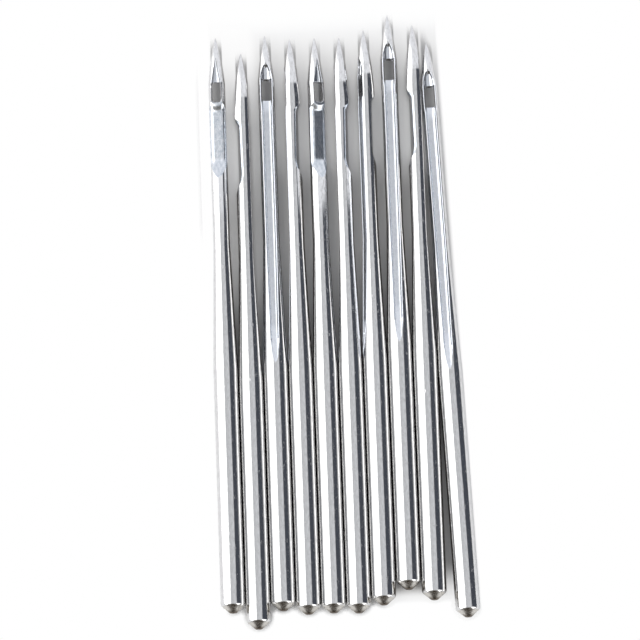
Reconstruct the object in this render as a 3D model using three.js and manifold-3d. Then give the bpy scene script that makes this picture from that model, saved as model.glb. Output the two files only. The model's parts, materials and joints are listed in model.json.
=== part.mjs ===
// Ten industrial sewing machine needles lying side by side, points away from the viewer.
// Each is one piece of steel: round shank, long conical shoulder, thin blade with a thread
// groove on one side, an eye, a scarf cut out of the other side, and a slender point.
// Millimetres, +Z up. A needle is made along +Y, butt at y = 0, groove towards +Z.

import * as THREE from "three";
import { mergeVertices } from "three/addons/utils/BufferGeometryUtils.js";
import Module from "manifold-3d";

// Turned body
const LENGTH = 38.5;
const SHANK_DIAMETER = 1.62;
const SHANK_LENGTH = 16.2;
const SHOULDER_LENGTH = 8.2;
const BLADE_DIAMETER = 1.1;
const POINT_LENGTH = 3.9;
const POINT_FULLNESS = 0.8; // 1 is a sine ogive, less is fuller
const BUTT_CHAMFER = 0.52;
const BUTT_FLAT_DIAMETER = 0.58;

// Eye, with its distance from the point to its near edge
const EYE_TO_POINT = 3.08;
const EYE_LENGTH = 1.33;
const EYE_WIDTH = 0.62;
const EYE_CORNER = 0.2;

// Long groove, from an arch above the eye down to the thick end of the shoulder
const GROOVE_WIDTH = 0.58;
const GROOVE_DEPTH = 0.45;
const GROOVE_END_WIDTH = 0.5;
const GROOVE_END_DEPTH = 0.34;
const GROOVE_TO_SHANK = 0.4;
const ARCH_LENGTH = 1.22;
const ARCH_STEP = 0.4; // steep stretch at the tip of the arch
const EYE_GROOVE_MARGIN = 0.025;

// Short channel above the eye on the scarf side
const CHANNEL_LENGTH = 1.75;
const CHANNEL_WIDTH = 0.54;
const CHANNEL_DEPTH = 0.37;

// Scarf, below the eye on the back
const LIP_LENGTH = 0.64; // eye edge to the foot of the lip
const LIP_WIDTH = 0.8;
const LIP_STEP = 0.05; // how far the lip's round end stands above the scarf
const SCARF_FLAT_LENGTH = 3.33;
const SCARF_RAMP_LENGTH = 1.2;
const SCARF_DEPTH_AT_LIP = 0.26;
const SCARF_DEPTH = 0.34;

// The row
const GAP = 0.02; // between neighbours where they all but touch
const LOOSE_GAP = 0.53; // between the last two butts

// How each needle lies: its turn about its own axis from groove up, its shift towards the
// points, and the extra room at its butt, which leans it against the needle before it.
const NEEDLES = [
  { name: "needle_01", turn: 174, shift: 0.23, splay: 0 },
  { name: "needle_02", turn: 90, shift: -0.88, splay: 0 },
  { name: "needle_03", turn: 2, shift: 0.27, splay: 0 },
  { name: "needle_04", turn: -90, shift: -0.02, splay: 0 },
  { name: "needle_05", turn: 203, shift: 0.02, splay: 0 },
  { name: "needle_06", turn: -88, shift: -0.04, splay: 0 },
  { name: "needle_07", turn: -65, shift: 0.43, splay: 0 },
  { name: "needle_08", turn: 0, shift: 1.39, splay: 0.015 },
  { name: "needle_09", turn: 92, shift: 0.65, splay: 0.01 },
  { name: "needle_10", turn: -3, shift: -0.55, splay: LOOSE_GAP, looseAtButt: true },
];

// Fineness of the solids
const SIDES = 24;
const POINT_RINGS = 7;
const CURVE_STEPS = 5;

const SHANK_RADIUS = SHANK_DIAMETER / 2;
const BLADE_RADIUS = BLADE_DIAMETER / 2;
const EYE_TOP = LENGTH - EYE_TO_POINT;
const EYE_BOTTOM = EYE_TOP - EYE_LENGTH;
const CLEAR = SHANK_DIAMETER; // cutters stand this far out of the body

const wasm = await Module();
wasm.setup();

// A three.js geometry as a solid that can be joined and cut.
function solid(geometry) {
  const bare = geometry.clone();
  bare.deleteAttribute("normal");
  bare.deleteAttribute("uv");
  const merged = mergeVertices(bare, 1e-5);
  const mesh = new wasm.Mesh({
    numProp: 3,
    vertProperties: merged.attributes.position.array,
    triVerts: new Uint32Array(merged.index.array),
  });
  return new wasm.Manifold(mesh);
}

// The other way round, with flat shading.
function geometryOf(made) {
  const mesh = made.getMesh();
  const geometry = new THREE.BufferGeometry();
  geometry.setAttribute("position", new THREE.BufferAttribute(mesh.vertProperties, 3));
  geometry.setIndex(new THREE.BufferAttribute(mesh.triVerts, 1));
  const flat = geometry.toNonIndexed();
  flat.computeVertexNormals();
  return flat;
}

// Everything inside an outline seen from above, between two heights.
function planCutter(outline, low, high) {
  const geometry = new THREE.ExtrudeGeometry(outline, {
    depth: high - low,
    bevelEnabled: false,
    curveSegments: CURVE_STEPS,
  });
  return solid(geometry.translate(0, 0, low));
}

// Everything inside an outline seen from the side, given as [y, z] corners, right across.
function sideCutter(corners) {
  const outline = new THREE.Shape(corners.map(([y, z]) => new THREE.Vector2(y, z)));
  const geometry = new THREE.ExtrudeGeometry(outline, { depth: 2 * CLEAR, bevelEnabled: false });
  const across = new THREE.Matrix4().makeBasis(
    new THREE.Vector3(0, 1, 0),
    new THREE.Vector3(0, 0, 1),
    new THREE.Vector3(1, 0, 0),
  );
  return solid(geometry.applyMatrix4(across).translate(-CLEAR, 0, 0));
}

// Radius of the point at a distance from its tip.
function pointRadius(fromTip) {
  const share = Math.sin((Math.PI / 2) * (fromTip / POINT_LENGTH));
  return BLADE_RADIUS * share ** POINT_FULLNESS;
}

// The turned body. Its flats lie at the true radius, one of them facing straight down.
function bodySolid() {
  const profile = [
    [0, 0],
    [BUTT_FLAT_DIAMETER / 2, 0],
    [SHANK_RADIUS, BUTT_CHAMFER],
    [SHANK_RADIUS, SHANK_LENGTH],
    [BLADE_RADIUS, SHANK_LENGTH + SHOULDER_LENGTH],
  ];
  for (let ring = POINT_RINGS; ring > 0; ring -= 1) {
    const fromTip = POINT_LENGTH * (ring / POINT_RINGS) ** 1.5;
    profile.push([pointRadius(fromTip), LENGTH - fromTip]);
  }
  profile.push([0, LENGTH]);
  const halfSide = Math.PI / SIDES;
  const points = profile.map(([r, y]) => new THREE.Vector2(r / Math.cos(halfSide), y));
  return solid(new THREE.LatheGeometry(points, SIDES, halfSide));
}

// Outline of the long groove: pointed arch above the eye, straight sides, round end.
function grooveOutline() {
  const atEye = EYE_WIDTH / 2 + EYE_GROOVE_MARGIN;
  const half = GROOVE_WIDTH / 2;
  const endHalf = GROOVE_END_WIDTH / 2;
  const archTip = EYE_TOP + ARCH_LENGTH;
  const archKnee = archTip - ARCH_LENGTH / 4;
  const end = SHANK_LENGTH + GROOVE_TO_SHANK + endHalf;
  const outline = new THREE.Shape();
  outline.moveTo(0, archTip);
  outline.quadraticCurveTo(-atEye / 2, archKnee, -atEye, EYE_TOP);
  outline.lineTo(-atEye, EYE_BOTTOM);
  outline.lineTo(-half, EYE_BOTTOM - atEye);
  outline.lineTo(-half, SHANK_LENGTH + SHOULDER_LENGTH);
  outline.lineTo(-endHalf, end);
  outline.absarc(0, end, endHalf, Math.PI, 2 * Math.PI, false);
  outline.lineTo(half, SHANK_LENGTH + SHOULDER_LENGTH);
  outline.lineTo(half, EYE_BOTTOM - atEye);
  outline.lineTo(atEye, EYE_BOTTOM);
  outline.lineTo(atEye, EYE_TOP);
  outline.quadraticCurveTo(atEye / 2, archKnee, 0, archTip);
  return outline;
}

// Long groove: its floor falls steeply at the arch, runs level and rises along the shoulder.
function grooveCutter() {
  const floor = BLADE_RADIUS - GROOVE_DEPTH;
  const archTip = EYE_TOP + ARCH_LENGTH;
  const rampTop = pointRadius(LENGTH - archTip + ARCH_STEP) / 2;
  const shoulderTop = SHANK_LENGTH + SHOULDER_LENGTH;
  const side = sideCutter([
    [SHANK_LENGTH, SHANK_RADIUS - GROOVE_END_DEPTH],
    [shoulderTop, floor],
    [EYE_TOP, floor],
    [archTip - ARCH_STEP, rampTop],
    [archTip, BLADE_RADIUS],
    [archTip, CLEAR],
    [SHANK_LENGTH, CLEAR],
  ]);
  return planCutter(grooveOutline(), -BLADE_RADIUS, CLEAR).intersect(side);
}

// Eye: a slot with rounded corners, right through.
function eyeCutter() {
  const half = EYE_WIDTH / 2;
  const outline = new THREE.Shape();
  outline.moveTo(half, EYE_BOTTOM + half);
  outline.lineTo(half, EYE_TOP - EYE_CORNER);
  outline.absarc(half - EYE_CORNER, EYE_TOP - EYE_CORNER, EYE_CORNER, 0, Math.PI / 2, false);
  outline.absarc(EYE_CORNER - half, EYE_TOP - EYE_CORNER, EYE_CORNER, Math.PI / 2, Math.PI, false);
  outline.lineTo(-half, EYE_BOTTOM + half);
  outline.absarc(0, EYE_BOTTOM + half, half, Math.PI, 2 * Math.PI, false);
  return planCutter(outline, -CLEAR, CLEAR);
}

// Short channel on the back, a narrow point that widens down to the eye.
function channelCutter() {
  const half = CHANNEL_WIDTH / 2;
  const tip = EYE_TOP + CHANNEL_LENGTH;
  const outline = new THREE.Shape();
  outline.moveTo(0, tip);
  outline.quadraticCurveTo(-half / 2, EYE_TOP + CHANNEL_LENGTH / 2, -half, EYE_TOP);
  outline.lineTo(-half, EYE_TOP - EYE_CORNER);
  outline.lineTo(half, EYE_TOP - EYE_CORNER);
  outline.lineTo(half, EYE_TOP);
  outline.quadraticCurveTo(half / 2, EYE_TOP + CHANNEL_LENGTH / 2, 0, tip);
  const side = sideCutter([
    [EYE_TOP - EYE_CORNER, -CLEAR],
    [tip, -CLEAR],
    [tip, -pointRadius(LENGTH - tip)],
    [EYE_TOP, CHANNEL_DEPTH - BLADE_RADIUS],
    [EYE_TOP - EYE_CORNER, CHANNEL_DEPTH - BLADE_RADIUS],
  ]);
  return planCutter(outline, -CLEAR, 0).intersect(side);
}

// Lip: a tongue with a round end that slopes from the eye's edge down to the scarf.
function lipSolid() {
  const half = LIP_WIDTH / 2;
  const foot = EYE_BOTTOM - LIP_LENGTH;
  const outline = new THREE.Shape();
  outline.moveTo(half, EYE_BOTTOM + half);
  outline.lineTo(-half, EYE_BOTTOM + half);
  outline.lineTo(-half, foot + half);
  outline.absarc(0, foot + half, half, Math.PI, 2 * Math.PI, false);
  const side = sideCutter([
    [foot, 0],
    [foot, SCARF_DEPTH_AT_LIP - LIP_STEP - BLADE_RADIUS],
    [EYE_BOTTOM, -BLADE_RADIUS],
    [EYE_BOTTOM + half, -BLADE_RADIUS],
    [EYE_BOTTOM + half, 0],
  ]);
  return planCutter(outline, -CLEAR, CLEAR).intersect(side);
}

// Scarf: a shallow flat that deepens towards the shank and ramps out, less the lip.
function scarfCutter() {
  const foot = EYE_BOTTOM - LIP_LENGTH;
  const deepest = foot - SCARF_FLAT_LENGTH;
  const side = sideCutter([
    [deepest - SCARF_RAMP_LENGTH, -BLADE_RADIUS - GAP],
    [deepest - SCARF_RAMP_LENGTH, -CLEAR],
    [EYE_BOTTOM, -CLEAR],
    [EYE_BOTTOM, SCARF_DEPTH_AT_LIP - BLADE_RADIUS],
    [foot, SCARF_DEPTH_AT_LIP - BLADE_RADIUS],
    [deepest, SCARF_DEPTH - BLADE_RADIUS],
  ]);
  return side.subtract(lipSolid());
}

// One needle, with its cuts turned about the body.
function needleGeometry(body, cuts, turn) {
  return geometryOf(body.subtract(cuts.rotate([0, turn, 0])));
}

// A needle's line on the table: how far right its axis is at a given y.
function axisAt(place, y) {
  return place.x - (y - place.y) * Math.tan(place.lean);
}

// Where each needle lies. Neighbours rest shank against shank. The last one lies with its
// blade against its neighbour's groove side and its butt apart.
function placeRow() {
  const places = [];
  for (const needle of NEEDLES) {
    const before = places.at(-1);
    const y = needle.shift;
    if (!before) {
      places.push({ x: 0, y, lean: 0 });
      continue;
    }
    const atButt = SHANK_DIAMETER + GAP + needle.splay;
    const grooveSide = Math.sqrt(BLADE_RADIUS ** 2 - (GROOVE_WIDTH / 2) ** 2);
    const touch = needle.looseAtButt ? BLADE_RADIUS + grooveSide + GAP : SHANK_DIAMETER + GAP;
    const run = needle.looseAtButt ? EYE_BOTTOM : SHANK_LENGTH;
    const lean = before.lean + Math.atan((atButt - touch) / run);
    places.push({ x: axisAt(before, y) + atButt, y, lean });
  }
  return places;
}

const steel = new THREE.MeshStandardMaterial({ color: 0xd4d6da, roughness: 0.16, metalness: 1 });
const body = bodySolid();
const cuts = grooveCutter().add(eyeCutter()).add(channelCutter()).add(scarfCutter());
const row = new THREE.Group();

placeRow().forEach((place, index) => {
  const { name, turn } = NEEDLES[index];
  const needle = new THREE.Mesh(needleGeometry(body, cuts, turn), steel.clone());
  needle.name = name;
  needle.position.set(place.x, place.y, SHANK_RADIUS);
  needle.rotation.z = place.lean;
  row.add(needle);
});

// The origin is in the middle of the row, on the table.
const box = new THREE.Box3().setFromObject(row, true);
const middle = box.getCenter(new THREE.Vector3());
row.position.set(-middle.x, -middle.y, -box.min.z);

export default row;
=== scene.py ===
"""Ten industrial sewing machine needles lying side by side on a pale floor.

One needle is modelled in millimetres with its butt at the origin, its point towards +Y and its
thread groove towards +Z. Ten copies of it are rolled, laid on their CAD nodes' places and dressed
in plated steel.
"""

from __future__ import annotations

import json
import logging
import math
from dataclasses import dataclass, field
from enum import Enum
from typing import Any, Callable

import bmesh
import bpy
from mathutils import Matrix, Vector


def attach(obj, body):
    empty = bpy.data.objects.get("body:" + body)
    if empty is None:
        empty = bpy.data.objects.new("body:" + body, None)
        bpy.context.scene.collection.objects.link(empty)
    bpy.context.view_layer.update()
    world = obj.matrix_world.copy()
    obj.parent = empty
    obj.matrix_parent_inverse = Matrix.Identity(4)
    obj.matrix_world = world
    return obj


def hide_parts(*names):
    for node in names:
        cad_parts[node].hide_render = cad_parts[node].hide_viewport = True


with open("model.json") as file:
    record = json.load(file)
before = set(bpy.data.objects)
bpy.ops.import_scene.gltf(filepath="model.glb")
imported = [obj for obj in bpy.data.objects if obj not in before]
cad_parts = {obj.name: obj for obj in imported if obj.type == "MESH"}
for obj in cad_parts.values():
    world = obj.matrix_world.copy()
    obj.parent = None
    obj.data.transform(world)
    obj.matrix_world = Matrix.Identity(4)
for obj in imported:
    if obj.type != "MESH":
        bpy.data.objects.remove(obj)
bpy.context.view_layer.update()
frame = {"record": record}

MM = 0.001
LOCAL = "local"  # attribute that holds a point's place on its own needle, in millimetres
PATTERN_STEP = 60.0  # the local places of each needle are moved on by this, so no two look alike
ABOVE = 0.02  # how far above the steel a cut begins or ends
# the dark room in front of the butts; on the floor the same tone is painted shade that only the
# needles mirror
NEAR = (0.05, 0.04, 0.03)  # tone of what lies in front of the butts
Triple = tuple[float, float, float]
Colour = Triple
Span = tuple[float, float]
Stations = list[tuple[float, ...]]  # distance from the tip, half width, floor, corner, hollow
Piece = bpy.types.Object
Socket = bpy.types.NodeSocket
log = logging.getLogger("needles")


class Facing(Enum):
    """Which side of a needle lies uppermost, as its turn in degrees from groove up."""

    GROOVE_UP = 0
    SCARF_LEFT = 90
    SCARF_UP = 180
    SCARF_RIGHT = -90


class Slot(Enum):
    """Material slots of a needle's mesh."""

    PLATED = 0
    GROOVE = 1
    SCARF = 2
    BUTT = 3
    # the eye's walls, in steel painted darker for the shade inside the slot
    EYE = 4


def deselect() -> None:
    """Leave object mode with nothing selected."""
    if bpy.context.mode != "OBJECT":
        bpy.ops.object.mode_set(mode="OBJECT")
    bpy.ops.object.select_all(action="DESELECT")


def pick(piece: Piece) -> None:
    """Make a piece the only one selected, and the active one.

    Args:
        piece: The piece.
    """
    deselect()
    piece.select_set(True)
    bpy.context.view_layer.objects.active = piece


def smooth_step(value: float) -> float:
    """Ease from 0 to 1 as the value goes from 0 to 1, and hold beyond."""
    held = min(max(value, 0.0), 1.0)
    return held * held * (3.0 - 2.0 * held)


def shares(count: int, first: int = 0) -> list[float]:
    """Even shares up to 1, from 0 or from a later step."""
    return [step / count for step in range(first, count + 1)]


class Bench:
    """Modelling moves that several parts share."""

    @staticmethod
    def wire(name: str, points: list[Vector]) -> Piece:
        """Draw a chain of edges by extruding its last vertex.

        Args:
            name: The new object's name.
            points: The corners of the chain, in order.

        Returns:
            The object, in edit mode.
        """
        deselect()
        bpy.ops.mesh.primitive_plane_add(size=1.0)
        wire = bpy.context.object
        wire.name = name
        bpy.ops.object.mode_set(mode="EDIT")
        bpy.ops.mesh.select_mode(type="VERT")
        bpy.ops.mesh.select_all(action="SELECT")
        bpy.ops.mesh.merge(type="CENTER")
        bpy.ops.transform.translate(value=points[0])
        for before, after in zip(points, points[1:]):
            bpy.ops.mesh.extrude_region_move(TRANSFORM_OT_translate={"value": after - before})
        return wire

    @staticmethod
    def close(piece: Piece) -> Piece:
        """Merge a piece's doubles, turn its faces outwards and leave edit mode.

        Args:
            piece: The piece, in either mode.

        Returns:
            The same piece.
        """
        if bpy.context.mode != "EDIT_MESH":
            pick(piece)
            bpy.ops.object.mode_set(mode="EDIT")
        bpy.ops.mesh.select_all(action="SELECT")
        bpy.ops.mesh.remove_doubles(threshold=0.0002)
        bpy.ops.mesh.normals_make_consistent(inside=False)
        bpy.ops.object.mode_set(mode="OBJECT")
        return piece

    @staticmethod
    def loft(name: str, rings: list[list[Vector]]) -> Piece:
        """Make a closed solid whose end face is extruded from ring to ring.

        Args:
            name: The new object's name.
            rings: The outlines that it passes through, each with as many points.

        Returns:
            The solid, in object mode.
        """
        deselect()
        bpy.ops.mesh.primitive_circle_add(vertices=len(rings[0]), fill_type="NGON")
        solid = bpy.context.object
        solid.name = name
        bpy.ops.object.mode_set(mode="EDIT")
        bpy.ops.mesh.select_mode(type="VERT")
        bpy.ops.mesh.select_all(action="SELECT")
        order = list(range(len(rings[0])))
        Bench._put(solid, order, rings[0])
        for ring in rings[1:]:
            bpy.ops.mesh.extrude_region_move(TRANSFORM_OT_translate={"value": (0.0, 0.0, 1.0)})
            order = Bench._raised(solid, order)
            Bench._put(solid, order, ring)
        return Bench.close(solid)

    @staticmethod
    def _put(solid: Piece, order: list[int], ring: list[Vector]) -> None:
        """Move the vertices in order to a ring's points.

        Args:
            solid: The solid, in edit mode.
            order: The vertices' numbers.
            ring: Where each of them goes.
        """
        cage = bmesh.from_edit_mesh(solid.data)
        cage.verts.ensure_lookup_table()
        for index, point in zip(order, ring):
            cage.verts[index].co = point
        bmesh.update_edit_mesh(solid.data)

    @staticmethod
    def _raised(solid: Piece, order: list[int]) -> list[int]:
        """Find the newly extruded vertex above each vertex in order.

        Args:
            solid: The solid, in edit mode.
            order: The old vertices' numbers.

        Returns:
            The new vertices' numbers, in the same order.
        """
        cage = bmesh.from_edit_mesh(solid.data)
        cage.verts.ensure_lookup_table()
        cage.verts.index_update()
        raised = []
        for index in order:
            below = cage.verts[index]
            above = [edge.other_vert(below) for edge in below.link_edges]
            raised.append(next(vert.index for vert in above if vert.select))
        return raised

    @staticmethod
    def cut(piece: Piece, cutter: Piece) -> None:
        """Take a cutter out of a piece and delete the cutter.

        Args:
            piece: What is cut.
            cutter: What it is cut with.
        """
        pick(piece)
        bpy.ops.object.modifier_add(type="BOOLEAN")
        cutting = piece.modifiers[-1]
        cutting.operation = "DIFFERENCE"
        cutting.solver = "EXACT"
        cutting.material_mode = "TRANSFER"
        cutting.object = cutter
        bpy.ops.object.modifier_apply(modifier=cutting.name)
        pick(cutter)
        bpy.ops.object.delete()


@dataclass(frozen=True)
class Blank:
    """Turned steel before any cut: butt cone, shank, shoulder, blade and point."""

    length: float = 38.5
    shank_radius: float = 0.81
    shank_length: float = 16.2
    shoulder_length: float = 8.2
    blade_radius: float = 0.55
    point_length: float = 3.9
    point_fullness: float = 0.8
    point_cone: float = 2.3  # from here to its end the point is a plain cone
    point_end: float = 3.1
    point_rings: int = 26
    ring_spacing: float = 1.6
    bulge: float = 1.22  # how much taller than round the back grows at the eye
    bulge_from: Span = (2.9, 4.2)  # distances from the tip
    bulge_to: Span = (5.4, 4.6)
    bulge_step: float = 0.1
    butt_flat_radius: float = 0.19
    butt_height: float = 0.54
    butt_round: float = 0.3
    polished_rim: float = 0.07
    end_round: float = 0.28
    round_steps: int = 10
    steps: int = 192

    def point_radius(self, from_tip: float) -> float:
        """Radius of the point at a distance from its tip.

        Args:
            from_tip: Distance from the tip.

        Returns:
            The radius.
        """
        if from_tip > self.point_cone:
            start = self.point_radius(self.point_cone)
            share = (from_tip - self.point_cone) / (self.point_end - self.point_cone)
            return start + (self.blade_radius - start) * min(share, 1.0)
        share = math.sin(math.pi / 2.0 * max(from_tip, 0.0) / self.point_length)
        return self.blade_radius * share**self.point_fullness

    def fullness(self, y: float) -> float:
        """How much taller than round the back is, at a distance from the butt.

        Args:
            y: Distance from the butt.

        Returns:
            1 where it is round, and more at the eye.
        """
        from_tip = self.length - y
        (start, full), (end, still_full) = self.bulge_from, self.bulge_to
        grown = smooth_step((from_tip - start) / (full - start))
        gone = smooth_step((from_tip - end) / (still_full - end))
        return 1.0 + (self.bulge - 1.0) * grown * gone

    def radius(self, y: float) -> float:
        """Radius of the blank at a distance from its butt.

        Args:
            y: Distance from the butt.

        Returns:
            The radius.
        """
        from_tip = self.length - y
        if from_tip < self.point_end:
            return self.point_radius(from_tip)
        taper = (y - self.shank_length) / self.shoulder_length
        held = min(max(taper, 0.0), 1.0)
        return self.shank_radius + (self.blade_radius - self.shank_radius) * held

    def slope(self, y: float) -> float:
        """How fast the radius grows along the blank."""
        reach = 0.01
        return (self.radius(y + reach) - self.radius(y - reach)) / (2.0 * reach)

    @property
    def butt_end(self) -> float:
        """Where the turned cone gives way to the polished rim."""
        return self.butt_height - self.polished_rim

    def butt(self) -> list[Vector]:
        """Profile of the butt cone, rounded at its rim and at its small end.

        Returns:
            Its points, from the axis out to the shank.
        """
        cone = math.atan2(self.shank_radius - self.butt_flat_radius, self.butt_height)
        points = [Vector((0.0, 0.0, 0.0))]
        inset = self.end_round * math.tan((math.pi / 2.0 - cone) / 2.0)
        end = Vector((self.butt_flat_radius - inset, self.end_round, 0.0))
        points += self.arc(end, self.end_round, -math.pi / 2.0, -cone)
        back = self.butt_round * math.tan(cone / 2.0)
        rim = Vector((self.shank_radius - self.butt_round, self.butt_height + back, 0.0))
        points += self.arc(rim, self.butt_round, -cone, 0.0)
        return points

    def arc(self, centre: Vector, radius: float, first: float, last: float) -> list[Vector]:
        """Points of an arc between two angles.

        Args:
            centre: The arc's centre.
            radius: Its radius.
            first: The first angle.
            last: The last angle.

        Returns:
            The points, both ends with them.
        """
        points = []
        for share in shares(self.round_steps):
            turn = first + (last - first) * share
            points.append(centre + Vector((math.cos(turn), math.sin(turn), 0.0)) * radius)
        return points

    def profile(self) -> list[Vector]:
        """Half outline of the blank from the butt's middle to the tip.

        Returns:
            Its points.
        """
        points = self.butt()
        points.append(Vector((self.shank_radius, self.shank_length, 0.0)))
        shoulder_end = self.shank_length + self.shoulder_length
        points.append(Vector((self.blade_radius, shoulder_end, 0.0)))
        from_tip = self.bulge_to[0] + self.bulge_step
        while from_tip > self.point_end + self.bulge_step / 2.0:
            points.append(Vector((self.blade_radius, self.length - from_tip, 0.0)))
            from_tip -= self.bulge_step
        for ring in range(self.point_rings, 0, -1):
            from_tip = self.point_end * (ring / self.point_rings) ** self.ring_spacing
            points.append(Vector((self.point_radius(from_tip), self.length - from_tip, 0.0)))
        points.append(Vector((0.0, self.length, 0.0)))
        return points

    def build(self) -> Piece:
        """Spin the profile about the needle's axis.

        Returns:
            The uncut needle.
        """
        blank = Bench.wire("blank", self.profile())
        bpy.ops.mesh.select_all(action="SELECT")
        bpy.ops.mesh.spin(steps=self.steps, angle=math.tau, center=(0, 0, 0), axis=(0, 1, 0))
        Bench.close(blank)
        for vertex in blank.data.vertices:
            if vertex.co.z < 0.0:
                vertex.co.z *= self.fullness(vertex.co.y)
        return blank


@dataclass(frozen=True)
class Trough:
    """Section of a groove: a floor with round corners, walls, and rims that roll outwards."""

    blank: Blank
    rim: float = 0.045
    corner_steps: int = 6
    rim_steps: int = 6
    rim_stop: float = math.radians(12.0)
    reach: float = 0.3
    top: float = 1.3
    least_wall: float = 0.01
    slant: float = 0.04
    most_slant: float = 0.3  # as a share of the half width
    most_corner: float = 0.95  # as a share of the floor's half width
    widest: float = 0.9  # as a share of the radius
    floor_steps: int = 5

    def sag(self, x: float, hollow: float) -> float:
        """Rise of a hollow floor away from its middle."""
        reach = min(abs(x), self.widest * hollow)
        return hollow - math.sqrt(hollow**2 - reach**2)

    def ring(
        self, y: float, half: float, floor: float, corner: float, hollow: float, side: int
    ) -> list[Vector]:
        """Outline of the cut at one place along the needle.

        Args:
            y: Distance from the butt.
            half: Half of the width between the tops of the walls.
            floor: Height of the middle of the floor over the axis.
            corner: Radius between floor and walls.
            hollow: Radius of the floor across.
            side: 1 for a cut from above, -1 for one from below.

        Returns:
            The outline's points, from the left top round to the right top.
        """
        radius = max(self.blank.radius(y), 2.0 * self.rim)
        rim = min(self.rim, radius / 3.0)
        middle = min(half + rim, self.widest * (radius - rim))
        half = middle - rim
        rim_height = math.sqrt((radius - rim) ** 2 - middle**2)
        foot = half - min(self.slant, self.most_slant * half)
        corner = min(corner, self.most_corner * foot)
        edge = floor + self.sag(foot, hollow) + corner
        lift = max(0.0, edge + self.least_wall - rim_height)
        stop = math.pi / 2.0 - math.atan2(middle, rim_height) + self.rim_stop
        right = []
        for share in shares(self.floor_steps, 1)[:-1]:
            x = (foot - corner) * share
            right.append((x, floor - lift + self.sag(x, hollow)))
        for share in shares(self.corner_steps):
            turn = math.pi / 2.0 * (share - 1.0)
            x = foot - corner + corner * math.cos(turn)
            z = floor - lift + corner + corner * math.sin(turn)
            right.append((x, z + self.sag(x, hollow)))
        for share in shares(self.rim_steps):
            turn = math.pi - (math.pi - stop) * share
            right.append((middle + rim * math.cos(turn), rim_height + rim * math.sin(turn)))
        x, z = right[-1]
        right.append((x + self.reach * math.sin(stop), z - self.reach * math.cos(stop)))
        right.append((right[-1][0], self.top))
        left = [(-x, z) for x, z in reversed(right)]
        return [Vector((x, y, side * (z + lift))) for x, z in left + right]

    def loft(self, name: str, stations: Stations, side: int) -> Piece:
        """Loft a cutter through stations along the needle, from above (1) or from below (-1).

        Args:
            name: The new object's name.
            stations: The cut's shape at each place.
            side: 1 for a cut from above, -1 for one from below.

        Returns:
            The cutter.
        """
        length = self.blank.length
        rings = [self.ring(length - from_tip, *shape, side) for from_tip, *shape in stations]
        return Bench.loft(name, rings)


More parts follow.
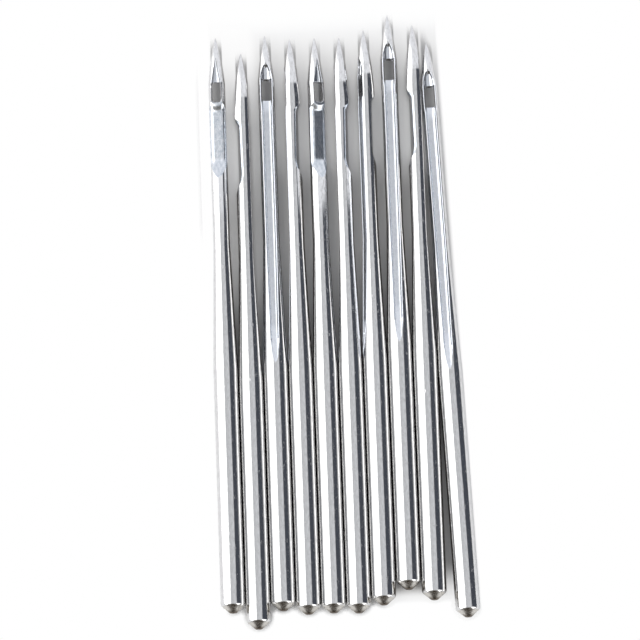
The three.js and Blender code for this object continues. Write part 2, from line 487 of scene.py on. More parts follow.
@dataclass(frozen=True)
class LongGroove:
    """Thread groove, from a pointed arch above the eye down to the shank."""

    blank: Blank
    arch_start: float = 1.86  # these places are distances from the tip
    arch_fullness: float = 1.9
    arch_first: float = 0.02
    arch_spacing: float = 1.5
    arch_corner: float = 0.07
    eye_start: float = 3.08
    eye_end: float = 4.41
    end: float = 22.25
    eye_half: float = 0.345
    half: float = 0.30
    end_half: float = 0.25
    arch_drop: float = 0.34
    arch_floor: float = 0.17
    floor: float = 0.10
    corner: float = 0.06
    eye_corner: float = 0.05
    eye_wall: float = 0.01
    hollow: float = 0.8
    arch_hollow: float = 0.45
    low_floor: float = 0.02
    low_length: float = 1.1
    through: float = -0.12
    edge: float = 0.09
    bottom_round: float = 0.06
    end_depth: float = 0.32
    end_rise: float = 2.8
    end_curve: float = 1.4
    end_bluntness: int = 8
    end_spacing: float = 1.6
    least_share: float = 0.01
    arch_steps: int = 16
    bevel_steps: int = 2
    round_steps: int = 4
    low_steps: int = 6
    end_steps: int = 14

    def arch(self) -> Stations:
        """Stations of the arch.

        Returns:
            The stations, from the tip's side on.
        """
        stations = []
        rim = self.blank.point_radius(self.arch_start)
        length = self.eye_start - self.edge - self.arch_start
        for share in shares(self.arch_steps):
            run = self.arch_first + (1.0 - self.arch_first) * share**self.arch_spacing
            fall = min(run * length / self.arch_drop, 1.0)
            deep = self.arch_floor + (rim + ABOVE - self.arch_floor) * (1.0 - fall)
            floor = deep + (self.floor - self.arch_floor) * smooth_step(run)
            half = self.eye_half * (1.0 - (1.0 - run) ** self.arch_fullness)
            from_tip = self.arch_start + run * length
            stations.append((from_tip, half, floor, self.arch_corner, self.arch_hollow))
        return stations

    def eye(self) -> Stations:
        """Stations over the eye, bevelled at the point side and rolled at the other.

        Returns:
            The stations, from the tip's side on.
        """
        stations = []
        for share in shares(self.bevel_steps, 1):
            from_tip = self.eye_start - self.edge * (1.0 - share)
            floor = self.floor - self.edge * share
            stations.append((from_tip, self.eye_half, floor, self.arch_corner, self.arch_hollow))
        for from_tip in (self.eye_start + self.eye_wall, self.eye_end - self.eye_wall):
            stations.append((from_tip, self.eye_half, self.through, self.eye_corner, self.hollow))
        for share in shares(self.round_steps):
            turn = math.pi / 2.0 * share
            from_tip = self.eye_end + self.bottom_round * (1.0 - math.cos(turn))
            floor = self.low_floor - self.bottom_round * (1.0 - math.sin(turn))
            stations.append((from_tip, self.eye_half, floor, self.corner, self.hollow))
        return stations

    def run(self) -> Stations:
        """Stations down the blade and the shoulder to where the end begins to rise.

        Returns:
            The stations, from the tip's side on.
        """
        blank = self.blank
        section = (self.corner, self.hollow)
        blade_end = blank.length - blank.shank_length - blank.shoulder_length
        stations = []
        for share in shares(self.low_steps, 1):
            from_tip = self.eye_end + self.bottom_round + self.low_length * share
            floor = self.low_floor + (self.floor - self.low_floor) * math.sin(math.pi / 2.0 * share)
            half = self.eye_half + (self.half - self.eye_half) * smooth_step(2.0 * share)
            stations.append((from_tip, half, floor, *section))
        return [*stations, (blade_end, self.half, self.floor, *section)]

    def run_out(self) -> Stations:
        """Stations of the end, where the floor rises to the surface by the shank.

        Returns:
            The stations, from the tip's side on.
        """
        stations = []
        for even in shares(self.end_steps):
            share = 1.0 - (1.0 - even) ** self.end_spacing
            from_tip = self.end - self.end_rise * (1.0 - share)
            depth = self.end_depth * (1.0 - share**self.end_curve)
            floor = self.blank.radius(self.blank.length - from_tip) - depth + ABOVE * share
            narrowed = math.sqrt(max(1.0 - share**self.end_bluntness, self.least_share))
            stations.append((from_tip, self.end_half * narrowed, floor, self.corner, self.hollow))
        return stations

    def build(self) -> Piece:
        """Loft the cutter of the whole groove."""
        stations = self.arch() + self.eye() + self.run() + self.run_out()
        return Trough(self.blank).loft("long_groove", stations, 1)


@dataclass(frozen=True)
class ShortChannel:
    """Narrow channel on the back that widens from the point side down to the eye."""

    blank: Blank
    start: float = 1.33  # these places are distances from the tip
    knee: float = 2.2
    eye_start: float = 3.08
    end: float = 3.45
    half: float = 0.27
    floor: float = 0.18
    hollow: float = 0.8
    rim: float = 0.03
    corner: float = 0.1
    top_round: float = 0.05
    first_share: float = 0.08
    floor_ease: float = 0.85
    eye_wall: float = 0.01
    steps: int = 14
    round_steps: int = 4

    def build(self) -> Piece:
        """Loft the cutter of the channel, which ends inside the eye.

        Returns:
            The cutter.
        """
        section = (self.corner, self.hollow)
        stations = []
        tip_rim = self.blank.point_radius(self.start) + ABOVE
        for share in shares(self.steps):
            t = self.first_share + (1.0 - self.first_share) * share
            start = (1.0 - t) ** 2 * self.start
            from_tip = start + 2.0 * t * (1.0 - t) * self.knee + t**2 * self.eye_start
            run = (from_tip - self.start) / (self.eye_start - self.start)
            floor = tip_rim + (self.floor - tip_rim) * run**self.floor_ease
            stations.append((from_tip - self.top_round * t, self.half * t, floor, *section))
        for share in shares(self.round_steps, 1):
            turn = math.pi / 2.0 * share
            from_tip = self.eye_start - self.top_round * (1.0 - math.sin(turn))
            floor = self.floor - self.top_round * (1.0 - math.cos(turn))
            stations.append((from_tip, self.half, floor, *section))
        for from_tip in (self.eye_start + self.eye_wall, self.end):
            stations.append((from_tip, self.half, 0.0, *section))
        return Trough(self.blank, rim=self.rim, slant=0.0).loft("short_channel", stations, -1)


@dataclass(frozen=True)
class Eye:
    """Slot right through the blade, with its rim on the back rolled outwards."""

    blank: Blank
    start: float = 3.08  # these places are distances from the tip
    end: float = 4.41
    half: float = 0.295
    corner: float = 0.15
    corner_steps: int = 7
    side_steps: int = 8
    end_steps: int = 5
    rim: float = 0.045
    lip_rim: float = 0.11
    lip_top: float = 0.49
    rim_steps: int = 7
    rim_stop: float = math.radians(10.0)
    reach: float = 0.12
    inside: float = 0.3
    outside: float = 1.2

    def outline(self) -> list[tuple[Vector, Vector]]:
        """Points of the slot seen from above, each with the direction away from the slot.

        Returns:
            The pairs, once round the slot.
        """
        low = self.blank.length - self.end
        high = self.blank.length - self.start
        across = self.half - self.corner
        corners = [(across, low + self.corner, -90), (across, high - self.corner, 0)]
        corners += [(-across, high - self.corner, 90), (-across, low + self.corner, 180)]
        gaps = [self.side_steps, self.end_steps, self.side_steps, self.end_steps]
        points = []
        for index, (x, y, first) in enumerate(corners):
            centre = Vector((x, y))
            for share in shares(self.corner_steps):
                turn = math.radians(first + 90.0 * share)
                away = Vector((math.cos(turn), math.sin(turn)))
                points.append((centre + away * self.corner, away))
            following = corners[(index + 1) % 4]
            last, away = points[-1]
            target = Vector((following[0], following[1])) + away * self.corner
            for share in shares(gaps[index], 1)[:-1]:
                points.append((last.lerp(target, share), away))
        return points

    def rolled(self, place: Vector, away: Vector) -> list[Vector]:
        """Points of the rim's roll at one place of the outline, from the wall outwards.

        Args:
            place: The outline's point.
            away: The direction away from the slot.

        Returns:
            The points, from inside the groove out past the back.
        """
        lip = max(0.0, -away.y) ** 2
        rim = self.rim + (self.lip_rim - self.rim) * lip
        centre = place + away * rim
        radius = self.blank.radius(centre.y)
        height = math.sqrt((radius - rim) ** 2 - centre.x**2) * self.blank.fullness(centre.y)
        fall = (centre.x * away.x - radius * self.blank.slope(centre.y) * away.y) / height
        if lip > 0.0 and height > self.lip_top - rim:
            height = self.lip_top - rim
            fall = 0.0
        stop = math.pi / 2.0 - math.atan(fall) + self.rim_stop
        points = [Vector((*place, self.inside)), Vector((*place, -height))]
        for share in shares(self.rim_steps, 1):
            turn = math.pi - (math.pi - stop) * share
            flat = centre + away * (rim * math.cos(turn))
            points.append(Vector((*flat, -height - rim * math.sin(turn))))
        flat = points[-1].xy + away * (self.reach * math.sin(stop))
        points.append(Vector((*flat, points[-1].z + self.reach * math.cos(stop))))
        points.append(Vector((*flat, -self.outside)))
        return points

    def build(self) -> Piece:
        """Loft the cutter from inside the groove out through the back.

        Returns:
            The cutter.
        """
        columns = [self.rolled(place, away) for place, away in self.outline()]
        rings = [list(ring) for ring in zip(*columns)]
        return Bench.loft("eye", rings)


@dataclass(frozen=True)
class Scarf:
    """Flat with rounded sides cut out of the back below the eye, with a round lip at the eye."""

    blank: Blank
    lip_start: float = 4.1  # these places are distances from the tip
    lip_ease: float = 0.4
    lip_drop: float = 0.06
    lip_foot: float = 5.14
    lip_half: float = 0.42
    lip_round: float = 0.62
    lip_slope: float = 0.56
    lip_depth: float = 0.28
    deepest: float = 8.38
    depth: float = 0.34
    ramp_end: float = 9.58
    blend: float = 0.2
    flat_half: float = 0.27
    side_radius: float = 0.24
    side_drop: float = 0.3
    most_reach: float = 0.97  # as a share of the side's radius
    half: float = 0.72
    across: int = 36
    outside: float = 1.2
    spans: tuple[tuple[float, float, int], ...] = (  # first and last place, and how many
        (2.6, 3.9, 6),
        (4.0, 5.15, 30),
        (5.3, 7.6, 5),
        (7.8, 8.8, 14),
        (8.9, 9.8, 10),
    )

    def side_depth(self, x: float) -> float:
        """How much deeper the cut is at its sides, where it rounds down to the blade.

        Args:
            x: Distance to the side.

        Returns:
            What is added to the depth.
        """
        beyond = abs(x) - self.flat_half
        if beyond <= 0.0:
            return 0.0
        reach = min(beyond, self.most_reach * self.side_radius)
        return min(self.side_radius - math.sqrt(self.side_radius**2 - reach**2), self.side_drop)

    def cut_depth(self, x: float, from_tip: float) -> float:
        """Depth of the cut below the back of the blade at a place seen from above.

        Args:
            x: Distance to the side.
            from_tip: Distance from the tip.

        Returns:
            The depth of the lip, the flat or the ramp there.
        """
        reach = min(abs(x), self.lip_half)
        foot = self.lip_foot - self.lip_round + math.sqrt(self.lip_round**2 - reach**2)
        into_lip = (from_tip - foot + self.lip_slope) / self.lip_slope
        if into_lip < 1.0:
            first = self.lip_drop * smooth_step((from_tip - self.lip_start) / self.lip_ease)
            return first + (self.lip_depth - self.lip_drop) * smooth_step(into_lip)
        run = (from_tip - self.lip_foot) / (self.deepest - self.lip_foot)
        flat = self.lip_depth + (self.depth - self.lip_depth) * run
        ramp = self.depth * (self.ramp_end - from_tip) / (self.ramp_end - self.deepest)
        gap = flat - ramp
        if abs(gap) > self.blend * self.depth:
            return min(flat, ramp)
        ease = (self.blend * self.depth - abs(gap)) ** 2 / (4.0 * self.blend * self.depth)
        return min(flat, ramp) - ease

    def stations(self) -> list[float]:
        """Places along the needle, close together where the cut's depth bends.

        Returns:
            Their distances from the tip.
        """
        places = []
        for first, last, count in self.spans:
            places += [first + (last - first) * step / (count - 1) for step in range(count)]
        return places

    def build(self) -> Piece:
        """Loft the cutter from the eye towards the shank.

        Returns:
            The cutter.
        """
        rings = []
        for from_tip in self.stations():
            y = self.blank.length - from_tip
            ring = []
            for share in shares(self.across):
                x = self.half * (2.0 * share - 1.0)
                depth = self.cut_depth(x, from_tip)
                depth += self.side_depth(x) * smooth_step(depth / self.lip_depth)
                ring.append(Vector((x, y, depth - self.blank.blade_radius)))
            ring.append(Vector((self.half, y, -self.outside)))
            ring.append(Vector((-self.half, y, -self.outside)))
            rings.append(ring)
        return Bench.loft("scarf", rings)


def math_node(operation: str, turned: bool = False) -> Callable[[Value, Any], Value]:
    """Make a method that adds a Math node.

    Args:
        operation: The node's operation.
        turned: Whether the method's own value comes second.

    Returns:
        The method, which takes a number or another value.
    """

    def method(self: Value, other: Any) -> Value:
        """Add the Math node.

        Args:
            other: A number or another value.

        Returns:
            The node's result.
        """
        first, second = (other, self) if turned else (self, other)
        settings = {"operation": operation}
        made = self.sheet.node("ShaderNodeMath", settings, {0: first, 1: second})
        return Value(self.sheet, made.outputs[0])

    return method


class Value:
    """A number in a node tree. Python's operators on it add Math nodes."""

    def __init__(self, sheet: NodeSheet, socket: Socket) -> None:
        """Wrap an output socket of the sheet."""
        self.sheet = sheet
        self.socket = socket

    __add__ = __radd__ = math_node("ADD")
    __sub__ = math_node("SUBTRACT")
    __rsub__ = math_node("SUBTRACT", turned=True)
    __mul__ = __rmul__ = math_node("MULTIPLY")
    __truediv__ = math_node("DIVIDE")
    __pow__ = math_node("POWER")
    larger = math_node("MAXIMUM")
    wrapped = math_node("MODULO")  # what is left after whole lengths are taken off

    def __abs__(self) -> Value:
        """Absolute value."""
        return math_node("ABSOLUTE")(self, 0.0)

    def ramp(self, low: float, high: float) -> Value:
        """Ease from 0 at one value to 1 at another, which may be the lower one.

        Args:
            low: Where the ramp is 0.
            high: Where it is 1.

        Returns:
            The share between them.
        """
        inputs = {0: self, 1: low, 2: high, 3: 0.0, 4: 1.0}
        settings = {"interpolation_type": "SMOOTHSTEP"}
        made = self.sheet.node("ShaderNodeMapRange", settings, inputs)
        return Value(self.sheet, made.outputs[0])


class NodeSheet:
    """The nodes of one material or of the world."""

    def __init__(self, tree: bpy.types.NodeTree) -> None:
        """Start from an empty tree."""
        self.tree = tree
        tree.nodes.clear()

    def node(self, kind: str, settings: dict[str, Any], inputs: dict[Any, Any]) -> bpy.types.Node:
        """Add a node.

        Args:
            kind: The node's type.
            settings: Its properties, set first.
            inputs: What each input socket holds, by name or number: a value, a Value or a socket.

        Returns:
            The new node.
        """
        made = self.tree.nodes.new(kind)
        for key, setting in settings.items():
            setattr(made, key, setting)
        for key, given in inputs.items():
            source = given.socket if isinstance(given, Value) else given
            if isinstance(source, Socket):
                self.tree.links.new(source, made.inputs[key])
            else:
                made.inputs[key].default_value = source
        return made

    def colour_mix(self, factor: Any, first: Any, second: Any) -> Socket:
        """Blend two colours, each a socket or an opaque colour.

        Args:
            factor: 0 for the first colour and 1 for the second.
            first: The first colour.
            second: The second colour.

        Returns:
            The blended colour.
        """
        settings = {"data_type": "RGBA", "clamp_factor": True}
        ends = [(*end, 1.0) if isinstance(end, tuple) else end for end in (first, second)]
        # sockets 6 and 7 and output 2 are those that the node keeps for colours
        made = self.node("ShaderNodeMix", settings, {0: factor, 6: ends[0], 7: ends[1]})
        return made.outputs[2]

    def scaled(self, vector: Socket, by: Triple) -> Socket:
        """Multiply a vector by another, part by part."""
        made = self.node("ShaderNodeVectorMath", {"operation": "MULTIPLY"}, {0: vector, 1: by})
        return made.outputs[0]

    def noise(self, place: Socket, density: Triple, detail: float = 3.0) -> Value:
        """Soft noise about 0.5, with a density along each axis.

        Args:
            place: Where the noise is read.
            density: How close its spots lie along each axis.
            detail: How many finer layers it has.

        Returns:
            The noise.
        """
        vector = self.scaled(place, density)
        inputs = {"Vector": vector, "Scale": 1.0, "Detail": detail, "Roughness": 0.5}
        made = self.node("ShaderNodeTexNoise", {}, inputs)
        return Value(self, made.outputs[0])


def grey(level: float) -> Colour:
    """A neutral colour."""
    return (level, level, level)


@dataclass(frozen=True)
class Finish:
    """A finish of the steel, drawn over the local places of each needle."""

    name: str

    def material(self) -> bpy.types.Material:
        """Build the finish.

        Returns:
            The new material.
        """
        made = bpy.data.materials.new(self.name)
        made.use_nodes = True
        sheet = NodeSheet(made.node_tree)
        place = sheet.node("ShaderNodeAttribute", {"attribute_name": LOCAL}, {}).outputs["Vector"]
        tone, rough, height = self.surface(sheet, place)
        bump = sheet.node("ShaderNodeBump", {}, {"Height": height, "Strength": 1.0, "Distance": 1.0})
        inputs = {
            "Base Color": tone,
            "Metallic": 1.0,
            "Roughness": rough,
            "Normal": bump.outputs[0],
        }
        steel = sheet.node("ShaderNodeBsdfPrincipled", {}, inputs)
        sheet.node("ShaderNodeOutputMaterial", {}, {0: steel.outputs[0]})
        return made

    def surface(self, sheet: NodeSheet, place: Socket) -> tuple[Socket, Value, Value]:
        """Draw the colour, the roughness and the height, each finish in its own way."""
        raise NotImplementedError


@dataclass(frozen=True)
class PlatedSteel(Finish):
    """Polished steel under bright plating, with faint lines along the needle and small nicks."""

    name: str = "plated_steel"
    colour: Colour = (0.81, 0.805, 0.80)
    shade: Colour = (0.71, 0.705, 0.70)
    roughness: float = 0.075
    line_density: Triple = (30.0, 0.8, 30.0)
    line_depth: float = 3e-7
    line_dulling: float = 0.04
    wave_density: Triple = (1.3, 0.45, 1.3)
    wave_depth: float = 2.5e-6
    cloud_density: Triple = (9.0, 2.6, 9.0)
    shaded: Span = (0.35, 0.7)
    dulled: Span = (0.48, 0.75)
    cloud_dulling: float = 0.2
    nick_density: Triple = (1.6, 0.7, 1.6)
    nick_size: Span = (0.11, 0.05)
    nick_choice: Span = (0.62, 0.64)
    nick_depth: float = 4e-6
    nick_dulling: float = 0.25

    def surface(self, sheet: NodeSheet, place: Socket) -> tuple[Socket, Value, Value]:
        """Draw faint lines, long waves, clouds that dull the plating, and nicks.

        Args:
            sheet: The sheet that the nodes go on.
            place: The local places.

        Returns:
            The colour, the roughness and the height.
        """
        lines = sheet.noise(place, self.line_density)
        waves = sheet.noise(place, self.wave_density, detail=1.0)
        cloud = sheet.noise(place, self.cloud_density)
        nicks = self._nicks(sheet, place)
        tone = sheet.colour_mix(cloud.ramp(*self.shaded), self.colour, self.shade)
        rough = self.roughness + self.line_dulling * lines
        rough = rough + self.cloud_dulling * cloud.ramp(*self.dulled) + self.nick_dulling * nicks
        height = waves * self.wave_depth + lines * self.line_depth - nicks * self.nick_depth
        return tone, rough, height

    def _nicks(self, sheet: NodeSheet, place: Socket) -> Value:
        """Rare small dots, 1 where the surface is nicked.

        Args:
            sheet: The sheet that the nodes go on.
            place: The local places.

        Returns:
            The dots.
        """
        vector = sheet.scaled(place, self.nick_density)
        cells = sheet.node("ShaderNodeTexVoronoi", {}, {"Vector": vector, "Scale": 1.0})
        near = Value(sheet, cells.outputs["Distance"]).ramp(*self.nick_size)
        split = sheet.node("ShaderNodeSeparateColor", {}, {0: cells.outputs["Color"]})
        return near * Value(sheet, split.outputs[0]).ramp(*self.nick_choice)


@dataclass(frozen=True)
class CutSteel(Finish):
    """Steel inside a cut, satin rather than polished, streaked along the needle."""

    colour: Colour
    shade: Colour
    roughness: float = 0.14
    line_density: Triple = (20.0, 0.4, 20.0)
    line_depth: float = 3e-8
    cloud_depth: float = 1e-7
    line_dulling: float = 0.12
    cloud_density: Triple = (6.0, 3.0, 6.0)
    shaded: Span = (0.3, 0.7)

    def surface(self, sheet: NodeSheet, place: Socket) -> tuple[Socket, Value, Value]:
        """Draw streaks and clouds.

        Args:
            sheet: The sheet that the nodes go on.
            place: The local places.

        Returns:
            The colour, the roughness and the height.
        """
        lines = sheet.noise(place, self.line_density)
        cloud = sheet.noise(place, self.cloud_density)
        tone = sheet.colour_mix(cloud.ramp(*self.shaded), self.colour, self.shade)
        height = lines * self.line_depth + cloud * self.cloud_depth
        return tone, self.roughness + self.line_dulling * lines, height


@dataclass(frozen=True)
class TurnedButt(Finish):
    """Bare turned steel of the butt, light at its rim and dark brown at its small end."""

    name: str = "turned_butt"
    bright: Colour = (0.66, 0.635, 0.59)
    brown: Colour = (0.14, 0.115, 0.09)
    bright_from: float = 0.30  # these places are distances from the butt
    brown_to: float = 0.04
    ragged: float = 0.12
    roughness: float = 0.2
    line_density: Triple = (3.0, 9.0, 3.0)
    line_depth: float = 1e-6
    cloud_density: Triple = (6.0, 6.0, 6.0)
    cloud_depth: float = 2e-6
    cloud_dulling: float = 0.12

    def surface(self, sheet: NodeSheet, place: Socket) -> tuple[Socket, Value, Value]:
        """Draw turning lines, clouds, and a ragged change from brown to bright.

        Args:
            sheet: The sheet that the nodes go on.
            place: The local places.

        Returns:
            The colour, the roughness and the height.
        """
        split = sheet.node("ShaderNodeSeparateXYZ", {}, {0: place})
        y = Value(sheet, split.outputs[1]).wrapped(PATTERN_STEP)
        lines = sheet.noise(place, self.line_density)
        cloud = sheet.noise(place, self.cloud_density)
        # brown at the butt's end, turning bright towards the rim with a ragged edge
        bright_share = (y + self.ragged * (cloud - 0.5)).ramp(self.brown_to, self.bright_from)
        tone = sheet.colour_mix(bright_share, self.brown, self.bright)
        height = lines * self.line_depth + cloud * self.cloud_depth
        return tone, self.roughness + self.cloud_dulling * cloud, height


@dataclass
class Needle:
    """One needle, modelled once and copied for each place in the row."""

    blank: Blank = field(default_factory=Blank)
    smooth_angle: float = math.radians(32.0)
    wall_steepness: float = 0.75
    eye_wall_end: float = 4.5

    def finishes(self) -> list[bpy.types.Material]:
        """The needle's materials in the order of their slots.

        Returns:
            The materials.
        """
        groove = CutSteel("groove_steel", colour=(0.76, 0.78, 0.81), shade=(0.70, 0.72, 0.76))
        scarf = CutSteel(
            "ground_scarf",
            colour=(0.78, 0.80, 0.83),
            shade=(0.60, 0.64, 0.69),
            roughness=0.16,
            line_density=(9.0, 12.0, 9.0),
            line_depth=5e-7,
            cloud_depth=8e-7,
        )
        # painted shade: the eye's walls and the steep groove walls by it are darker steel, for the
        # shade inside the slot
        eye = CutSteel(
            "eye_painted_shade",
            colour=(0.44, 0.44, 0.45),
            shade=(0.32, 0.32, 0.33),
            roughness=0.2,
            line_density=(12.0, 12.0, 12.0),
            line_depth=2e-7,
            cloud_depth=2e-7,
        )
        finishes = [PlatedSteel(), groove, scarf, TurnedButt(), eye]
        return [finish.material() for finish in finishes]

    def build(self) -> Piece:
        """Model the needle in millimetres, groove up.

        Returns:
            The finished needle.
        """
        finishes = self.finishes()
        needle = self.blank.build()
        for material in finishes:
            needle.data.materials.append(material)
        cuts = [
            (LongGroove(self.blank), Slot.GROOVE),
            (ShortChannel(self.blank), Slot.GROOVE),
            (Eye(self.blank), Slot.EYE),
            (Scarf(self.blank), Slot.SCARF),
        ]
        for shape, slot in cuts:
            cutter = shape.build()
            cutter.data.materials.append(finishes[slot.value])
            Bench.cut(needle, cutter)
            log.info("cut %s: %d faces", type(shape).__name__, len(needle.data.polygons))
        for face in needle.data.polygons:
            if face.center.y < self.blank.butt_end:
                face.material_index = Slot.BUTT.value
            elif self._is_eye_wall(face):
                face.material_index = Slot.EYE.value
        Bench.close(needle)
        pick(needle)
        bpy.ops.object.shade_smooth_by_angle(angle=self.smooth_angle)
        return needle

    def _is_eye_wall(self, face: bpy.types.MeshPolygon) -> bool:
        """Whether a face is one of the groove's steep walls at the arch and the eye, which get the
        eye's painted shade.

        Args:
            face: A face of the cut needle.

        Returns:
            True for such a wall.
        """
        from_tip = self.blank.length - face.center.y
        steep = abs(face.normal.x) > self.wall_steepness
        return steep and from_tip < self.eye_wall_end and face.material_index == Slot.GROOVE.value


@dataclass(frozen=True)
class Lying:
    """How one needle lies: which side is up, and how much further it is turned."""

    facing: Facing
    extra: float

    @property
    def turn(self) -> float:
        """The turn about the needle's length, in radians."""
        return math.radians(self.facing.value + self.extra)


@dataclass
class NeedleRow:
    """The ten needles, each on the place that its CAD node's butt seat gives."""

    lying: dict[str, Lying] = field(
        default_factory=lambda: {
            "01": Lying(Facing.SCARF_UP, -6.0),
            "02": Lying(Facing.SCARF_LEFT, 0.0),
            "03": Lying(Facing.GROOVE_UP, 2.0),
            "04": Lying(Facing.SCARF_RIGHT, 5.0),
            "05": Lying(Facing.SCARF_UP, 23.0),
            "06": Lying(Facing.SCARF_RIGHT, 2.0),
            "07": Lying(Facing.SCARF_RIGHT, 25.0),
            "08": Lying(Facing.GROOVE_UP, 0.0),
            "09": Lying(Facing.SCARF_LEFT, 2.0),
            "10": Lying(Facing.GROOVE_UP, -3.0),
        }
    )

    def lay(self, master: Piece) -> None:
        """Copy the needle to each place and tie the copies to the frame.

        Args:
            master: The modelled needle, which is deleted at the end.
        """
        mounts = {mount["name"]: mount for mount in frame["record"]["mounts"]}
        for index, (number, lying) in enumerate(self.lying.items()):
            seat = mounts[f"butt_seat_{number}"]
            axis = -Vector(seat["axis"])
            pick(master)
            bpy.ops.object.duplicate(linked=False)
            needle = bpy.context.object
            needle.name = f"plated_needle_{number}"
            self._mark(needle, index)
            needle.rotation_euler = (0.0, lying.turn, math.atan2(-axis.x, axis.y))
            needle.location = Vector(seat["pos_m"])
            needle.scale = (MM, MM, MM)
            bpy.ops.object.transform_apply(location=True, rotation=True, scale=True)
            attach(needle, f"needle_{number}")
            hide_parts(f"needle_{number}")
            log.info("laid %s, turned %.0f degrees", needle.name, math.degrees(lying.turn))
        pick(master)
        bpy.ops.object.delete()

    def _mark(self, needle: Piece, index: int) -> None:
        """Store each point's local place, moved on so that no two needles share a pattern.

        Args:
            needle: The copy, still in millimetres.
            index: Its place in the row.
        """
        stored = needle.data.attributes.new(LOCAL, "FLOAT_VECTOR", "POINT")
        for vertex, cell in zip(needle.data.vertices, stored.data):
            cell.vector = vertex.co + Vector((0.0, PATTERN_STEP * index, 0.0))


class Way(Enum):
    """What a patch of the room is bounded by, out of the parts of a direction."""

    ACROSS = "to the right of straight up, seen along the needles"
    RIGHT = "to the right"
    ASIDE = "to either side"
    FORWARD = "towards the points"
    ALONG = "towards either end"


@dataclass(frozen=True)
class Patch:
    """A part of the room with a tone of its own."""

    tone: Colour
    edges: tuple[tuple[Way, float, float], ...]  # each from where it is 0 to where it is 1

    def share(self, parts: dict[Way, Value]) -> Value:
        """How much of the patch's tone a direction has: 1 well inside it and 0 outside."""
        return math.prod(parts[way].ramp(outer, inner) for way, outer, inner in self.edges)


@dataclass(frozen=True)
class Room:
    """Room about the needles: white at the left, grey overhead, dark at the right and in front."""

    overhead_left: Colour = (0.60, 0.615, 0.645)
    overhead_right: Colour = (0.72, 0.735, 0.765)
    overhead_turn: Span = (-0.35, 0.6)
    straight_along: float = 1e-6  # keeps the division off zero
    patches: tuple[Patch, ...] = (
        Patch((0.93, 0.95, 1.0), ((Way.FORWARD, 0.30, 0.38),)),
        Patch(grey(2.2), ((Way.ACROSS, -0.28, -0.36), (Way.FORWARD, 0.52, 0.44))),
        Patch(grey(2.2), ((Way.RIGHT, 0.44, 0.54), (Way.FORWARD, -0.38, -0.5))),
        Patch((0.07, 0.077, 0.095), ((Way.ACROSS, 0.55, 0.63), (Way.ALONG, 0.38, 0.3))),
        Patch(
            (0.28, 0.27, 0.255),
            ((Way.FORWARD, -0.52, -0.62), (Way.RIGHT, 0.56, 0.46), (Way.RIGHT, -0.72, -0.62)),
        ),
        Patch(NEAR, ((Way.FORWARD, -0.88, -0.95), (Way.ASIDE, 0.46, 0.32))),
        Patch(NEAR, ((Way.FORWARD, -0.70, -0.80), (Way.ASIDE, 0.28, 0.16))),
    )

    def build(self) -> None:
        """Light the needles from the room. The camera sees it plain white."""
        world = bpy.data.worlds.new("studio")
        bpy.context.scene.world = world
        world.use_nodes = True
        sheet = NodeSheet(world.node_tree)
        direction = sheet.node("ShaderNodeTexCoord", {}, {}).outputs["Generated"]
        split = sheet.node("ShaderNodeSeparateXYZ", {}, {0: direction})
        x, y, z = (Value(sheet, part) for part in split.outputs)
        parts = {
            Way.ACROSS: x / (x * x + z * z + self.straight_along) ** 0.5,
            Way.RIGHT: x,
            Way.ASIDE: abs(x),
            Way.FORWARD: y,
            Way.ALONG: abs(y),
        }
        turn = parts[Way.ACROSS].ramp(*self.overhead_turn)
        tone = sheet.colour_mix(turn, self.overhead_left, self.overhead_right)
        for patch in self.patches:
            tone = sheet.colour_mix(patch.share(parts), tone, patch.tone)
        path = sheet.node("ShaderNodeLightPath", {}, {})
        tone = sheet.colour_mix(path.outputs["Is Camera Ray"], tone, grey(1.0))
        sky = sheet.node("ShaderNodeBackground", {}, {"Color": tone, "Strength": 1.0})
        sheet.node("ShaderNodeOutputWorld", {}, {0: sky.outputs[0]})


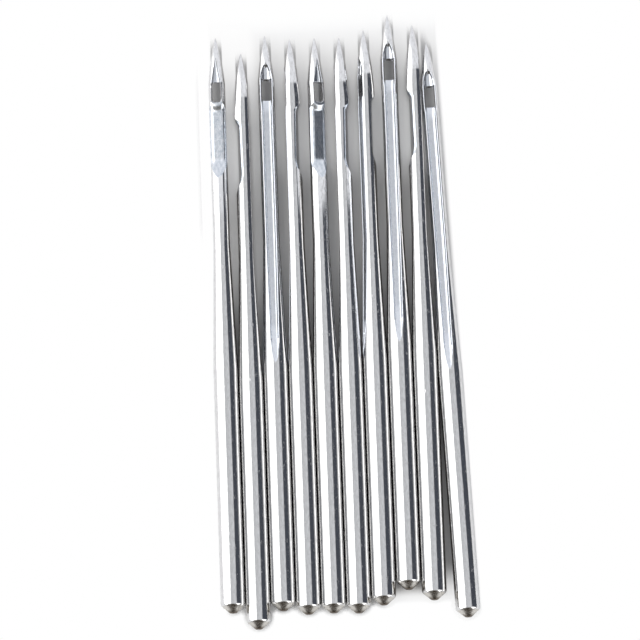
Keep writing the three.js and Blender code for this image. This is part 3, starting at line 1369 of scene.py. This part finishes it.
@dataclass(frozen=True)
class Floor:
    """Pale floor that the camera sees white, but for the shade among the needles, which is partly
    real and partly painted.

    Its places are in millimetres, x across the row and y along the needles.
    """

    size: float = 4.0
    paper: Colour = (0.93, 0.93, 0.93)
    # painted shade inside the row's outline
    shaded_paper: Colour = (0.72, 0.71, 0.695)
    # painted shade that only the needles mirror: a darker floor under the row, lighter towards the
    # points
    mirrored_under_shade: Colour = (0.24, 0.23, 0.22)  # this and the next are what the needles mirror
    mirrored_open_shade: Colour = (0.62, 0.61, 0.60)
    open_from: Span = (8.0, 16.0)
    # painted shade on the floor under the eyes, seen through them
    under_eye_shade: Colour = (0.44, 0.435, 0.43)
    outer_under_eye_shade: Colour = (0.40, 0.395, 0.39)
    outer_from: Span = (-6.9, -7.2)
    left_edge: float = -7.8  # this and the next five are the row's outline
    right_edge: float = 7.5
    right_slant: float = -0.038
    side_fade: float = 0.4
    near_edge: Span = (-18.1, -19.0)
    far_edge: Span = (17.5, 21.0)
    # painted shade in front of the butts, which only the needles mirror
    front_fade: Span = (-23.5, -28.0)
    shadow_reach: float = 0.0006  # in metres
    shadow_span: Span = (0.6, 0.9)
    roof_reach: float = 0.0012  # in metres
    roof_span: Span = (0.95, 0.8)
    # where the painted shade under the eyes lies
    first_axis: float = -7.649
    pitch: float = 1.64
    last_axis: Triple = (6.46, 14.7, -0.03475)  # x at a y, and its slope
    last_from: Span = (5.9, 6.1)
    last_light: float = 0.15
    # under this needle, which is turned, the painted shade is lighter
    turned_axis: float = -1.089  # this needle is turned so that light comes through its eye
    turned_half: Span = (0.8, 0.7)
    turned_light: float = 0.35
    hole_half: Span = (0.42, 0.34)
    hole_from: Span = (5.0, 7.0)
    # painted light between the needles, rising towards the points: from where, to where, and how
    # much
    middle_painted_light: tuple[Triple, ...] = ((8.5, 12.5, 0.17), (14.0, 20.0, 0.45))
    left_painted_light: tuple[Triple, ...] = (
        (-5.0, 2.0, 0.12),
        (7.0, 12.0, 0.17),
        (13.0, 17.0, 0.3),
        (15.5, 18.5, 0.3),
    )
    left_fade: Span = (-4.0, -5.6)
    right_painted_light: tuple[Triple, ...] = ((8.0, 12.0, 0.25),)
    right_fade: Span = (3.6, 4.6)
    # painted light between the butts at the right
    front_light: tuple[tuple[Span, Span, float], ...] = (  # across, along, and how much
        ((2.0, 2.6), (-17.75, -18.6), 0.75),
        ((6.1, 6.4), (-16.2, -18.4), 0.7),
    )

    def build(self) -> None:
        """Lay the floor under the needles."""
        deselect()
        bpy.ops.mesh.primitive_plane_add(size=self.size)
        floor = bpy.context.object
        floor.name = "floor"
        made = bpy.data.materials.new("pale_floor")
        made.use_nodes = True
        sheet = NodeSheet(made.node_tree)
        place = sheet.node("ShaderNodeTexCoord", {}, {}).outputs["Object"]
        split = sheet.node("ShaderNodeSeparateXYZ", {}, {0: place})
        x, y = (Value(sheet, split.outputs[index]) / MM for index in range(2))
        path = sheet.node("ShaderNodeLightPath", {}, {})
        camera = Value(sheet, path.outputs["Is Camera Ray"])
        glossy = Value(sheet, path.outputs["Is Glossy Ray"])
        beside = (self.left_edge - x).larger(x - self.right_edge - self.right_slant * y)
        aside = beside.ramp(0.0, self.side_fade)
        clear = aside.larger(y.ramp(*self.far_edge)).larger(y.ramp(*self.near_edge))
        near_steel = self._open_sky(sheet, self.roof_reach).ramp(*self.roof_span)
        # painted shade under the eyes, only where steel is close overhead
        painted_eye_shade = self._painted_shade_below(x, y) * near_steel * camera
        # painted shade: the paper is darker inside the row's outline
        tone = sheet.colour_mix(clear, self.shaded_paper, self.paper)
        painted_eye_shade_tone = sheet.colour_mix(x.ramp(*self.outer_from), self.under_eye_shade, self.outer_under_eye_shade)
        tone = sheet.colour_mix(painted_eye_shade, tone, painted_eye_shade_tone)
        # painted shade that only the needles mirror, inside the row
        mirrored_shade = sheet.colour_mix(y.ramp(*self.open_from), self.mirrored_under_shade, self.mirrored_open_shade)
        tone = sheet.colour_mix((1.0 - clear) * glossy, tone, mirrored_shade)
        # painted shade: the needles mirror the floor in front of the butts as near black
        tone = sheet.colour_mix(y.ramp(*self.front_fade) * glossy, tone, NEAR)
        inputs = {"Base Color": tone, "Roughness": 0.9, "Specular IOR Level": 0.0}
        paper = sheet.node("ShaderNodeBsdfPrincipled", {}, inputs)
        lit = self._open_sky(sheet, self.shadow_reach).ramp(*self.shadow_span)
        # outside the row the floor is lifted to the plain white backdrop; between the needles and
        # the butts the lift is painted light
        lifted = (clear.larger(self._painted_light(x, y)) * lit).larger(aside).larger(self._painted_front_light(x, y))
        seen = lifted * (1.0 - painted_eye_shade) * camera
        plain = sheet.node("ShaderNodeEmission", {}, {"Color": (*grey(1.0), 1.0), "Strength": 1.0})
        inputs = {0: seen, 1: paper.outputs[0], 2: plain.outputs[0]}
        mixed = sheet.node("ShaderNodeMixShader", {}, inputs)
        sheet.node("ShaderNodeOutputMaterial", {}, {0: mixed.outputs[0]})
        floor.data.materials.append(made)

    @staticmethod
    def _open_sky(sheet: NodeSheet, reach: float) -> Value:
        """How open the floor is within a reach: 1 in the open, less near steel."""
        made = sheet.node("ShaderNodeAmbientOcclusion", {}, {"Distance": reach})
        return Value(sheet, made.outputs["AO"])

    def _painted_shade_below(self, x: Value, y: Value) -> Value:
        """Painted shade: 1 right below a needle's axis, where the floor shows through the eye, and 0
        beside it.

        Args:
            x: Place across the row.
            y: Place along the needles.

        Returns:
            How dark the floor is made there.
        """
        # the row is cut into steps from here, each with a needle's axis in its middle
        start = self.first_axis - 1.5 * self.pitch
        row = abs((x - start).wrapped(self.pitch) - 0.5 * self.pitch).ramp(*self.hole_half)
        place, at, slope = self.last_axis
        last = abs(x - place - slope * (y - at)).ramp(*self.hole_half)
        beyond = x.ramp(*self.last_from)
        turned = abs(x - self.turned_axis).ramp(*self.turned_half)
        light = self.turned_light * turned + self.last_light * beyond
        return (row * (1.0 - beyond) + last * beyond) * y.ramp(*self.hole_from) * (1.0 - light)

    def _painted_light(self, x: Value, y: Value) -> Value:
        """Painted light: how far the floor between the needles is lifted to white, more towards the
        points.

        Args:
            x: Place across the row.
            y: Place along the needles.

        Returns:
            The share of white.
        """
        middle, left, right = (
            sum(y.ramp(start, end) * rise for start, end, rise in steps)
            for steps in (self.middle_painted_light, self.left_painted_light, self.right_painted_light)
        )
        left = x.ramp(*self.left_fade) * left
        return middle.larger(left).larger(x.ramp(*self.right_fade) * right)

    def _painted_front_light(self, x: Value, y: Value) -> Value:
        """How far painted light from the front reaches in between the butts at the right."""
        short, gap = (
            x.ramp(*across) * y.ramp(*along) * lift for across, along, lift in self.front_light
        )
        return short.larger(gap)


@dataclass(frozen=True)
class PhotoCamera:
    """Camera at the photograph's place: almost overhead, a little towards the butts."""

    aim: Triple = (-1.34, -0.05, 0.81)
    distance: float = 330.0
    tilt: float = math.radians(10.0)
    roll: float = math.radians(1.99)
    lens: float = 281.9

    def build(self) -> None:
        """Add the camera and make it the scene's own."""
        back = Vector((0.0, -math.sin(self.tilt), math.cos(self.tilt)))
        away = Vector((0.0, math.cos(self.tilt), math.sin(self.tilt)))
        right = Vector((1.0, 0.0, 0.0))
        turned_right = right * math.cos(self.roll) - away * math.sin(self.roll)
        turned_up = away * math.cos(self.roll) + right * math.sin(self.roll)
        axes = Matrix((turned_right, turned_up, back)).transposed()
        deselect()
        bpy.ops.object.camera_add()
        camera = bpy.context.object
        place = (Vector(self.aim) + back * self.distance) * MM
        camera.matrix_world = Matrix.Translation(place) @ axes.to_4x4()
        camera.data.lens = self.lens
        camera.data.clip_start = 0.01
        bpy.context.scene.camera = camera


def main() -> None:
    """Build the needles, the floor, the room and the camera."""
    logging.basicConfig(level=logging.INFO, format="%(name)s: %(message)s")
    master = Needle().build()
    log.info("needle modelled with %d faces", len(master.data.polygons))
    NeedleRow().lay(master)
    Floor().build()
    Room().build()
    PhotoCamera().build()
    bpy.context.scene.view_settings.view_transform = "Standard"


if __name__ == "__main__":
    main()
